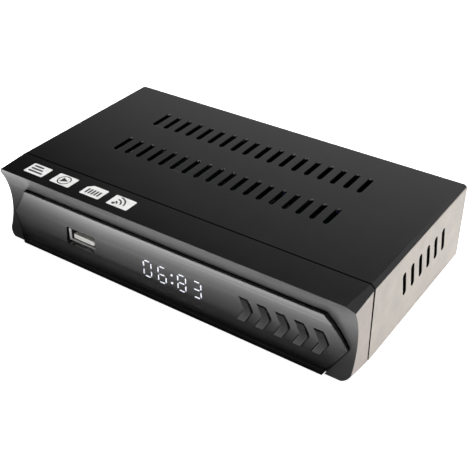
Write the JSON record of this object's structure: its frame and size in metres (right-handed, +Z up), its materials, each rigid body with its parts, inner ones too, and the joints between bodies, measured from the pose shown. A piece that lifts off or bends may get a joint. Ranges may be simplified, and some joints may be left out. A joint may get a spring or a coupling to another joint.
{
  "type": "digital tv receiver",
  "caption": "Flat set-top receiver box: vented sheet-metal cover, hollow moulded front with a raised pointed display window, arrow push keys, front USB socket and sockets at the rear.",
  "frame": {"origin": "middle of the footprint, on the plane the feet stand on", "axes": "+X to the right seen from the front, +Y to the rear (the front faces -Y), +Z up"},
  "size_m": [0.151, 0.096, 0.033],
  "materials": {
    "cover_paint": "fine satin black paint on top, satin silver sides",
    "tray_steel": "zinc-plated sheet",
    "panel_plastic": "satin-gloss black moulding",
    "window_acrylic": "smoked glossy acrylic",
    "key_plastic": "satin black moulding",
    "black_plastic": "fine matt black",
    "board_green": "solder mask",
    "screw_steel": "plated",
    "lit_plastic": "lit white segments",
    "dark_plastic": "unlit segments",
    "dark_lens": "infrared-passing dark plastic",
    "red_lens": "clear red plastic",
    "standoff_brass": "plain",
    "socket_metal": "bright nickel plate",
    "white_plastic": "plain",
    "contact_gold": "gold flash",
    "can_steel": "tinned sheet",
    "chip_plastic": "moulding compound",
    "sink_aluminium": "extruded",
    "capacitor_sleeve": "shrink sleeve",
    "ferrite": "ferrite",
    "ribbon_plastic": "flat cable",
    "foot_rubber": "matt"
  },
  "bodies": {
    "case": {"top_cover": "cover_paint", "chassis_tray": "tray_steel", "front_panel": "panel_plastic", "display_window": "window_acrylic", "key_switches": "black_plastic", "front_board": "board_green", "front_board_screws": "screw_steel", "digit_display": "black_plastic", "lit_segments": "lit_plastic", "dark_segments": "dark_plastic", "infrared_receiver": "dark_lens", "standby_lamp": "red_lens", "main_board": "board_green", "main_board_screws": "screw_steel", "board_standoffs": "standoff_brass", "usb_shell": "socket_metal", "usb_tongue": "white_plastic", "usb_contacts": "contact_gold", "tuner_can": "can_steel", "aerial_input": "socket_metal", "aerial_input_core": "white_plastic", "aerial_output": "socket_metal", "aerial_output_core": "white_plastic", "video_socket": "socket_metal", "video_tongue": "black_plastic", "av_jack": "black_plastic", "dc_inlet": "black_plastic", "dc_inlet_pin": "socket_metal", "processor": "chip_plastic", "heat_sink": "sink_aluminium", "memory_chip": "chip_plastic", "flash_chip": "chip_plastic", "crystal": "can_steel", "capacitors": "capacitor_sleeve", "inductors": "ferrite", "regulators": "chip_plastic", "ribbon_cable": "ribbon_plastic", "ribbon_sockets": "white_plastic", "cover_screws": "screw_steel", "rubber_feet": "foot_rubber"},
    "key_1": {"arrow_key_1": "key_plastic", "key_plunger_1": "black_plastic"},
    "key_2": {"arrow_key_2": "key_plastic", "key_plunger_2": "black_plastic"},
    "key_3": {"arrow_key_3": "key_plastic", "key_plunger_3": "black_plastic"},
    "key_4": {"arrow_key_4": "key_plastic", "key_plunger_4": "black_plastic"},
    "key_5": {"arrow_key_5": "key_plastic", "key_plunger_5": "black_plastic"}
  },
  "joints": [
    {"name": "key_1_press", "type": "slide", "parent": "case", "child": "key_1", "axis": [0, 1, 0], "range_m": [0, 0.00035], "stiffness_N_per_m": 1000},
    {"name": "key_2_press", "type": "slide", "parent": "case", "child": "key_2", "axis": [0, 1, 0], "range_m": [0, 0.00035], "stiffness_N_per_m": 1000},
    {"name": "key_3_press", "type": "slide", "parent": "case", "child": "key_3", "axis": [0, 1, 0], "range_m": [0, 0.00035], "stiffness_N_per_m": 1000},
    {"name": "key_4_press", "type": "slide", "parent": "case", "child": "key_4", "axis": [0, 1, 0], "range_m": [0, 0.00035], "stiffness_N_per_m": 1000},
    {"name": "key_5_press", "type": "slide", "parent": "case", "child": "key_5", "axis": [0, 1, 0], "range_m": [0, 0.00035], "stiffness_N_per_m": 1000}
  ]
}
